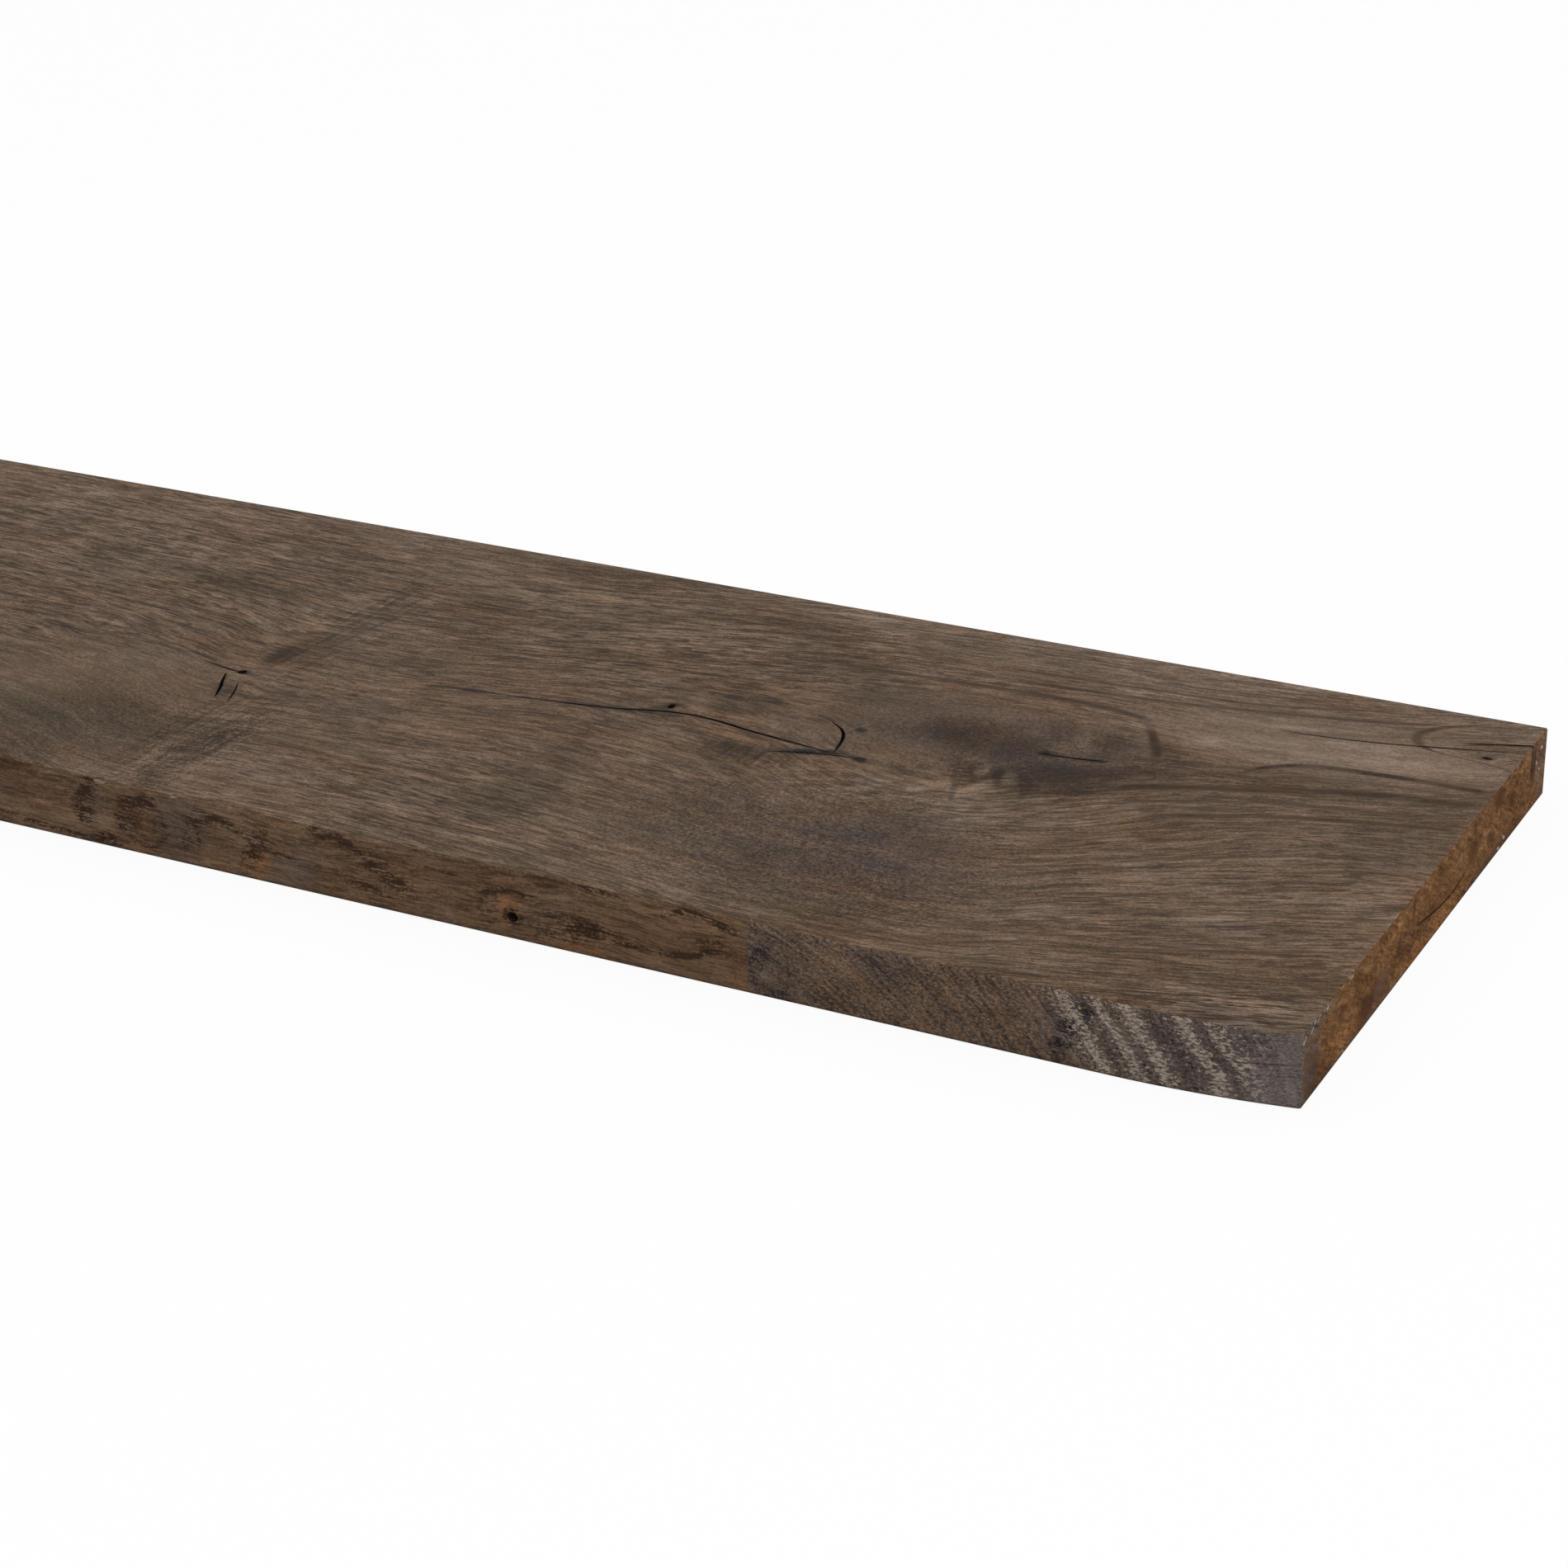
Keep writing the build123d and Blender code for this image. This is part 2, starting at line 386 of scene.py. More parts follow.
def patches(vector, listing):
    # soft patches: place, reach along and across, strength in the middle, turn anticlockwise if any
    level = None
    for placeX, placeY, along, across, strength, *turn in listing:
        if turn:
            c, s = math.cos(math.radians(turn[0])), math.sin(math.radians(turn[0]))
            away = vec('SUBTRACT', vector, (placeX, placeY, 0))
            u, v = dot(away, (c / along, s / along, 0)), dot(away, (-s / across, c / across, 0))
            square = calc('MULTIPLY_ADD', u, u, times(v, v))
        else:
            away = fromPlace(vector, placeX, placeY, along, across)
            square = dot(away, away)
        patch = fit(square, 1.0, 0.0, 0.0, strength, smooth=True)
        level = patch if level is None else calc('ADD', level, patch)
    return level


def lineHeight(along, points):
    # the height of a smooth line through the points, read from the curve editor's 0 to 1
    low, high = min(p[1] for p in points) - 1, max(p[1] for p in points) + 1
    start, stop = points[0][0], points[-1][0]
    node = put("FloatCurve", {"Value": fit(along, start, stop)})
    curve = node.mapping.curves[0]
    scaled = [((a - start) / (stop - start), (b - low) / (high - low)) for a, b in points]
    curve.points[0].location, curve.points[1].location = scaled[0], scaled[-1]
    for place in scaled[1:-1]:
        curve.points.new(*place)
    node.mapping.update()
    return calc('MULTIPLY_ADD', node.outputs[0], float(high - low), float(low))


def strokes(x, y, listing, level=0.0):
    # dark lines drawn through their points, with a width and a strength, fading at both ends
    for points, width, strength in listing:
        along, aside = x, y
        if abs(points[-1][0] - points[0][0]) < abs(points[-1][1] - points[0][1]):
            along, aside, points = y, x, [(b, a) for a, b in points]
        points = sorted(points)
        start, stop = points[0][0], points[-1][0]
        gap = calc('ABSOLUTE', calc('SUBTRACT', aside, lineHeight(along, points)))
        past = calc('ABSOLUTE', calc('SUBTRACT', along, (start + stop) / 2))
        fade = fit(past, (stop - start) / 2 + 1, (stop - start) / 2 - min(5, (stop - start) / 4))
        stroke = times(fit(gap, width, width * 0.2, 0.0, strength, smooth=True), fade)
        level = calc('MAXIMUM', level, stroke)
    return level


def hoops(vector, listing):
    # dark rings: place, reach along and across, width, strength
    level = 0.0
    for placeX, placeY, along, across, width, strength in listing:
        away = fromPlace(vector, placeX, placeY, along, across)
        out = put("VectorMath", {0: away}, operation='LENGTH').outputs["Value"]
        gap = calc('ABSOLUTE', calc('SUBTRACT', out, 1.0))
        hoop = fit(gap, width / along, 0.0, 0.0, strength, smooth=True)
        level = calc('MAXIMUM', level, hoop)
    return level


def boardPlace():
    # millimetres from the sawn end, from the near edge and from the underside
    spot = put("TexCoord").outputs["Object"]
    return vec('MULTIPLY_ADD', spot, (1000, 1000, 1000), (-endX, -nearY, 0))


def dress(finish, colour, height, strength, distance):
    # gives the material its colour and its fine relief, in millimetres
    tree.links.new(colour, finish.inputs["Base Color"])
    bump = put("Bump", {"Height": height, "Strength": strength, "Distance": distance * mm})
    tree.links.new(bump.outputs[0], finish.inputs["Normal"])


# Height of one grain line along the board, as (fromEnd, millimetres) points, near the far edge, in the
# middle and near the near edge, and the knots that the lines part round.
grain = {
    "far": ((-600, -1), (-500, 0), (-440, -4), (-345, -9), (-320, -9), (-260, -2), (-200, 6), (-140, 11),
            (-80, 15), (-50, 20), (-20, 29), (0, 37)),
    "middle": ((-600, 3), (-500, 4), (-440, 1), (-380, -6), (-345, -14), (-325, -13), (-280, -5), (-230, 3),
               (-190, 2), (-150, -4), (-110, 1), (-70, 12), (-40, 20), (0, 27)),
    "near": ((-600, 7), (-500, 9), (-420, 4), (-380, -4), (-345, -12), (-320, -10), (-240, -12), (-190, -16),
             (-150, -21), (-115, -22), (-80, -14), (-40, -3), (0, 8)),
    "farRow": 165, "middleRow": 100, "nearRow": 30,
    # x, y, reach along, reach across, how far it pushes the lines apart
    "knots": [(-140, 120, 58, 34, 0.72), (-348, 66, 14, 16, 0.5), (-9, 172.5, 14, 8, 0.6),
              (-226, 109.5, 6, 5, 0.7), (-428, 80, 7, 6, 0.6), (-411, 92, 5, 6, 0.6)],
    "wander": 1.4,
}


def grainSpace(place):
    # turns a place on the board into one along the grain, across it and up through it
    x, y, z = apart(place)
    farHeight, middleHeight, nearHeight = (lineHeight(x, grain[name])
                                           for name in ("far", "middle", "near"))
    toMiddle = fit(y, grain["nearRow"], grain["middleRow"])
    toFar = fit(y, grain["middleRow"], grain["farRow"], smooth=True)
    height = calc('MULTIPLY_ADD', calc('SUBTRACT', middleHeight, nearHeight), toMiddle, nearHeight)
    height = calc('MULTIPLY_ADD', calc('SUBTRACT', farHeight, middleHeight), toFar, height)
    across = calc('SUBTRACT', y, height)
    for knotX, knotY, reachX, reachY, push in grain["knots"]:
        away = vec('SUBTRACT', place, (knotX, knotY, 0))
        away = vec('MULTIPLY', away, (1 / reachX, 1 / reachY, 0))
        square = dot(away, away)
        aside = times(calc('SUBTRACT', y, knotY), push)
        across = calc('SUBTRACT', across, calc('DIVIDE', aside, calc('ADD', square, 1.0)))
    across = swing(across, [(cloud(place, (0.012, 0.03, 0.03)), 2 * grain["wander"])])
    return joined(x, across, z)


# Millimetres from the sawn end and from the near edge. The patches and strokes are the board's own figure,
# save the painted shade along the cracks and the painted highlight at the near arris by the corner. The
# underside has none of them.
planed = {
    "browns": [rgb(40, 27, 15), rgb(74, 55, 39), rgb(102, 83, 66), rgb(126, 106, 90), rgb(151, 130, 113)],
    "pore": rgb(50, 36, 24),
    # how light the wood is between 0 and 1, and how much each pattern swings it
    "middle": 0.54, "rowShare": 0.88, "lineShare": 0.9, "toothShare": 1.1, "streakShare": 0.35,
    "cloudShare": 0.32, "darkestStain": 0.49, "washShare": 0.55, "yearsPerMm": 0.27,
    "shade": rgb(34, 29, 25),
    # lighter and darker patches
    "patches": [
        (-112, 132, 8, 6, 0.1), (-91, 146, 6, 18, -0.1, 22), (-192, 90, 19, 9, -0.22), (-192, 74, 26, 14, -0.1),
        (-212, 178, 22, 16, -0.12), (-22, 60, 7, 24, -0.08), (-313, 137, 12, 9, -0.14),
        (-289, 94, 12, 4.5, -0.16, 12), (-392, 138, 30, 17, -0.14), (-447, 149, 17, 7, -0.14),
        (-408, 100, 4, 24, 0.1), (-354, 112, 9, 15, 0.2), (-250, 156, 44, 16, 0.12, 8), (-152, 111, 14, 9, 0.1),
        (-122, 88, 42, 18, 0.06, 14), (-128.5, 107.5, 2.6, 6, 0.34, 8), (-120, 106, 3, 6.5, 0.32, 18),
        (-125, 99, 3, 7, 0.18, -32), (-142, 99, 3, 7, 0.14, -40), (-40, 62, 56, 42, 0.08, 10),
        # the patch at (-16, 9) lightens the top along the near arris by the corner: pale worn wood, and a
        # painted highlight
        (-50, 160, 66, 24, 0.24, 5), (-16, 9, 34, 12, 0.22), (-430, 150, 140, 70, 0.05), (-331, 48, 5, 9, 0.25),
        (-120, 16, 46, 18, -0.08), (-70, 96, 22, 12, -0.1, 20), (-470, 185, 90, 24, 0.06),
        (-300, 170, 60, 14, 0.06, 4), (-120, 194, 160, 20, 0.14),
    ],
    # stains, softer than the patches
    "stains": [
        (-136, 127, 25, 14, 0.34, -14), (-107, 111, 26, 14, 0.36, 16), (-124, 120, 46, 28, 0.22),
        (-103, 140, 9, 8, 0.2), (-168, 131, 40, 16, 0.12), (-130, 104, 4, 11, 0.26, 14),
        (-136, 108, 3, 7, 0.16, 20), (-123, 106, 2, 7, 0.22, 14), (-114, 103, 2.4, 8, 0.2, 20),
        (-86, 128, 12, 24, 0.16, 10), (-120, 143, 5, 12, 0.16, 28), (-56, 137, 15, 8, 0.12, 14),
        (-150, 44, 66, 40, 0.17), (-122, 46, 30, 34, 0.06), (-184, 121, 7, 4, 0.22), (-208, 121, 14, 11, 0.16),
        (-202, 117, 5, 4, 0.12), (-235, 52, 12, 52, 0.08), (-348, 95, 5.5, 15, 0.34), (-341, 103, 10, 26, 0.14),
        (-341, 141, 9, 30, 0.09), (-345, 30, 6, 38, 0.12), (-330, 28, 8, 42, 0.26), (-370, 26, 38, 36, 0.24),
        (-316, 66, 24, 12, 0.06),
    ],
    # where the surface is felted rather than grained
    "felted": [
        (-148, 45, 74, 46, 1.2), (-130, 122, 60, 34, 0.7), (-368, 28, 40, 38, 0.8), (-330, 28, 14, 44, 1),
    ],
    # blots that nearly black the wood: the dark hearts of the knots, and dirt and painted shade where the cracks
    # meet and widen
    "blots": [
        (-169.5, 101, 5, 2.6, 1), (-178, 97.6, 11, 2.2, 0.9, 20), (-162, 100, 6, 2.4, 0.9, -16),
        (-161.4, 99.4, 2.6, 2.6, 0.8), (-116.5, 124.8, 4, 2.8, 1.5), (-103.6, 126, 4.5, 1.6, 0.9, 5),
        (-170, 117.6, 2.6, 2.1, 0.8), (-348.4, 67, 5, 8, 0.4, 12), (-130.5, 94, 1.3, 10, 0.55, 14),
        (-134, 101, 1.3, 8, 0.4, 20), (-226, 109.8, 2.6, 4.2, 0.7, -20), (-350, 79.2, 2.6, 2.2, 0.75),
        (-312, 78.2, 2.4, 2, 0.7), (-411, 92, 1.8, 4.2, 0.6), (-428.5, 79, 2.8, 3.8, 0.45),
        (-9, 172.6, 3.4, 2, 0.65, 15), (-223, 104.5, 5, 2, 0.65, 15), (-243, 101.6, 17, 2.2, 0.5, 8),
        (-349, 94, 3, 8, 0.3),
    ],
    # where the grain is livelier, and where it is calmer
    "liveliness": [
        (-35, 45, 80, 55, 0.08), (-255, 30, 40, 30, 0.3), (-440, 140, 140, 80, 0.4), (-250, 155, 100, 50, 0.4),
        (-372, 28, 44, 34, -0.45), (-45, 162, 74, 28, -0.65, 5), (-140, 130, 62, 30, -0.7),
        (-165, 110, 38, 12, -0.4), (-385, 60, 50, 34, -0.5), (-20, 8, 30, 12, 0.5), (-148, 45, 70, 42, -0.6),
    ],
    "slates": [
        (-150, 45, 66, 40, 0.9), (-125, 62, 28, 30, 0.4), (-138, 130, 58, 28, 0.9), (-108, 114, 30, 18, 0.6),
        (-370, 20, 34, 26, 0.5), (-235, 60, 15, 50, 0.4), (-314, 68, 24, 14, 0.5), (-338, 115, 8, 40, 0.35),
        (-330, 25, 14, 30, 0.5), (-8, 4, 34, 9, 0.8), (-212, 180, 16, 16, 0.4), (-243, 101.6, 16, 3.5, 0.8, 8),
        (-180, 97, 14, 4, 0.9, 15), (-92, 133, 22, 14, 0.4),
    ],
    "slate": rgb(96, 86, 84),
    "olives": [
        (-208, 120, 15, 11, 1.2), (-192, 90, 18, 9, 0.9), (-347, 104, 9, 24, 0.9), (-385, 34, 40, 22, 0.6),
        (-312, 137, 12, 9, 0.6), (-372, 22, 40, 34, 0.5), (-447, 149, 18, 9, 0.5), (-180, 145, 50, 16, 0.35),
        (-332, 30, 8, 30, 0.4), (-395, 140, 40, 22, 0.3), (-236, 40, 14, 44, 0.4),
    ],
    "olive": rgb(98, 88, 68),
    "rusts": [
        (-204, 99.7, 26, 5, 0.7, -6), (-157, 108, 14, 8, 0.4), (-168, 93.8, 8, 4, 0.8), (-146, 111, 6, 4, 0.3),
        (-352, 82, 18, 12, 0.35), (-353, 113, 8, 12, 0.4), (-210, 110, 22, 6, 0.4), (-230, 84, 30, 10, 0.35),
        (-2, 60, 5, 90, 0.35),
    ],
    "rust": rgb(146, 104, 70),
    # lines of darker pores where a growth ring comes out
    "rings": [
        (((-198, 158), (-158, 160.5), (-125, 161.7), (-108, 160), (-99, 155.5)), 2, 0.75),
        (((-101, 157), (-95, 147), (-91.5, 140), (-88, 131)), 2.8, 0.85),
        (((-67, 128), (-65, 136), (-60, 142), (-50, 147.5), (-33, 150), (0, 151)), 2.4, 0.95),
        (((-60, 134), (-45, 141), (-25, 144.5), (0, 146)), 1.6, 0.5),
        (((-95, 110), (-83, 117), (-58, 127), (-33, 136), (0, 142)), 3.6, 0.85),
        (((-90, 104), (-70, 113), (-45, 122), (0, 131)), 1.5, 0.5),
        (((-147, 168), (-125, 170), (-100, 172.5), (-75, 177), (-42, 184), (-25, 190)), 1.6, 0.75),
        (((-12, 197), (-20, 191.5), (-27.5, 186), (-30.3, 178.5), (-25.6, 172), (-16.3, 165.5), (-9, 164),
         (0, 165.5)), 2.8, 0.8),
        (((-150, 176), (-110, 178.5), (-80, 181), (-58, 187), (-40, 193)), 1.4, 0.7),
        (((-112, 184), (-85, 187), (-60, 191)), 1, 0.55), (((-60, 168), (-30, 178), (0, 193)), 1.4, 0.4),
        (((-80, 98), (-50, 112), (-20, 121), (0, 125)), 2, 0.6), (((-85, 35), (-45, 52), (0, 68)), 1.2, 0.5),
        (((-70, 20), (-35, 34), (0, 50)), 1.2, 0.5), (((-75, 70), (-40, 90), (-8, 104)), 1.3, 0.5),
    ],
    # dirt and shade along the cracks, and fine cracks too thin to cut
    "dirtAndShade": [
        (((-299, 92.8), (-285, 95.5), (-262, 98.4), (-241, 101.7), (-219, 107), (-196, 104),
         (-179, 101.3)), 1, 0.85),
        (((-253, 99.6), (-238, 102.2), (-222.5, 104.9)), 1.6, 0.6), (((-219, 107.2), (-212, 106.2)), 1.1, 0.6),
        (((-186, 94.5), (-180, 97), (-171, 101), (-163, 100)), 1, 0.8),
        (((-180, 119.6), (-174.5, 115.2), (-172, 110.5), (-171.3, 106), (-169.6, 101)), 1, 0.7),
        (((-119, 124.6), (-111, 125), (-100, 127)), 1, 0.7),
        (((-354.5, 76.5), (-351, 69), (-347.5, 60.5)), 1.2, 0.8),
        (((-347.5, 72), (-344.4, 65.5), (-342, 59)), 0.7, 0.5),
        (((-366, 81.6), (-359, 80), (-350.5, 78.4)), 0.9, 0.75),
        (((-377, 86.4), (-371, 85.2), (-362, 82)), 1, 0.9),
        (((-66, 166.8), (-42, 169.5), (-25, 173.5), (-1, 180)), 0.9, 0.75),
        (((-17, 179.5), (-8, 183), (0, 185.4)), 1.2, 0.85), (((-410, 85), (-385, 86), (-366, 83)), 0.7, 0.35),
        (((-440, 84), (-425, 86), (-411, 84)), 0.7, 0.35), (((-45, 152), (-20, 153.5), (0, 154.5)), 0.7, 0.25),
        (((-168.5, 109.2), (-165, 108.7)), 0.6, 0.5), (((-180, 106.6), (-176.5, 105.8)), 0.6, 0.4),
        (((-60, 28), (-30, 36), (-5, 45)), 0.8, 0.3), (((-134, 102), (-131, 94), (-127.5, 85)), 0.9, 0.5),
    ],
    "dirtAndShadeColour": rgb(24, 20, 22),
    # figure that crosses the grain: its patch, its turn, sizes per millimetre along and across it, share
    "figures": [
        ((-120, 89, 46, 22, 1, 12), 38, (0.06, 0.3, 0.2), 1.35),
        ((-160, 84, 34, 12, 1), 24, (0.06, 0.5, 0.2), 1.35),
        ((-148, 70, 52, 46, 1), -76, (0.06, 0.3, 0.1), 0.45),
        ((-192, 90, 19, 10, 1), 88, (0.05, 0.5, 0.2), 1.3), ((-340, 125, 15, 66, 1), 86, (0.05, 0.5, 0.2), 1.1),
        ((-333, 30, 20, 52, 1), 88, (0.06, 0.5, 0.2), 1.4),
        ((-114, 142, 28, 18, 1), -62, (0.05, 0.22, 0.1), 0.6),
    ],
}


def planedFace():
    finish = newMaterial("planedOak", roughness=0.62, specular=0.06)
    place = boardPlace()
    run = grainSpace(place)
    x, y, z = apart(place)
    onTop = fit(z, 5, 15)                     # 1 on the top face and 0 on the underside
    lively = calc('MULTIPLY_ADD', patches(place, planed["liveliness"]), onTop, 1.0)

    rows = cloud(run, (0.045, 0.30, 0.2), detail=4, rough=0.75, seed=1)
    lines = cloud(run, (0.10, 1.25, 0.8), detail=2, rough=0.7, seed=2)
    tooth = cloud(place, (1.1, 1.7, 1.5), detail=2, rough=0.75, seed=5)
    fine = swing(0.0, [(rows, planed["rowShare"]), (lines, planed["lineShare"])])
    level = calc('MULTIPLY_ADD', fine, lively, planed["middle"])
    streaks = cloud(run, (0.010, 0.06, 0.04), detail=1, seed=3)
    clouding = cloud(place, (0.03, 0.045, 0.05), detail=3, seed=4)
    level = swing(level, [(streaks, planed["streakShare"]), (tooth, planed["toothShare"]),
                          (clouding, planed["cloudShare"])])
    felted = times(patches(place, planed["felted"]), onTop)
    level = swing(level, [(tooth, felted)])

    # ragged breaks the patches up along the grain, and crumbled breaks the dark marks up to the pores
    ragged = fit(cloud(run, (0.06, 0.22, 0.1), detail=4, rough=0.7, seed=6), 0.35, 0.65, 0.35, 1.55)
    crumbled = times(fit(tooth, 0.38, 0.60, 0.45, 1.25), ragged)
    level = calc('ADD', level, times(patches(place, planed["patches"]), ragged, onTop))
    mild = times(fit(ragged, 0.35, 1.55, 0.8, 1.15), fit(tooth, 0.4, 0.6, 0.8, 1.15))
    # stains that overlap add up to no more than the darkest one
    stained = fit(patches(place, planed["stains"]), 0.0, 0.62, 0.0, planed["darkestStain"])
    level = calc('SUBTRACT', level, times(stained, mild, onTop))
    for number, (where, turn, scale, share) in enumerate(planed["figures"]):
        pattern = cloud(turned(place, turn), scale, detail=3, rough=0.7, seed=10 + number)
        inside = times(patches(place, [where]), share, onTop)
        level = swing(level, [(pattern, inside)])
    base = stops(level, planed["browns"])

    washes = [(times(patches(place, planed[name]), ragged, onTop), colour)
              for name, colour in (("slates", "slate"), ("olives", "olive"), ("rusts", "rust"))]
    olive = cloud(place, (0.03, 0.05, 0.05), detail=2, seed=20)
    rust = cloud(place, (0.03, 0.06, 0.05), detail=2, seed=21)
    washes += [(fit(olive, 0.42, 0.62, 0, 0.55), "olive"), (fit(rust, 0.46, 0.66, 0, 0.45), "rust")]
    dimmed = fit(level, 0.0, 1.0)
    for amount, colour in washes:
        amount = times(amount, planed["washShare"], clamp=True)
        base = washed(base, amount, dimmed, planed["shade"], planed[colour])

    # short pores, and long hairlines broken into dashes
    pores = fit(swing(cloud(run, (0.17, 1.7, 1.2), detail=1, seed=7), [(rows, -0.3)]),
                0.56, 0.62, 0, 0.6, smooth=True)
    hair = hairlines(cloud(run, (0.02, 0.34, 0.2), detail=2, seed=9), 0.62)
    dashes = fit(cloud(run, (0.12, 0.9, 0.6), detail=2, rough=0.7, seed=8), 0.44, 0.54)
    pores = calc('MAXIMUM', pores, times(hair, dashes))
    # the early wood of each year, a few millimetres apart
    years = cloud(run, (0.008, 0.05, 0.03), detail=1, seed=19)
    years = calc('MULTIPLY_ADD', years, 4.0, times(apart(run)[1], planed["yearsPerMm"]))
    years = fit(calc('PINGPONG', years, 0.5), 0.20, 0.03, 0.0, 0.5)
    pores = calc('MAXIMUM', pores, times(years, fit(rows, 0.60, 0.42)))
    pores = times(pores, lively, clamp=True)
    ringed = times(strokes(x, y, planed["rings"]), calc('MULTIPLY_ADD', crumbled, 0.6, 0.4))
    dark = calc('MAXIMUM', pores, times(ringed, onTop), clamp=True)
    base = tint(dark, base, planed["pore"])
    # dirt and painted shade along the cracks, with the blots, darken the top face
    dirtAndShade = strokes(x, y, planed["dirtAndShade"], patches(place, planed["blots"]))
    base = tint(times(dirtAndShade, crumbled, onTop, clamp=True), base, planed["dirtAndShadeColour"])

    height = calc('SUBTRACT', calc('MULTIPLY_ADD', tooth, 0.5, fine), pores)
    dress(finish, base, height, strength=0.5, distance=0.25)
    tree.links.new(fit(fine, -0.15, 0.15, 0.58, 0.70), finish.inputs["Roughness"])


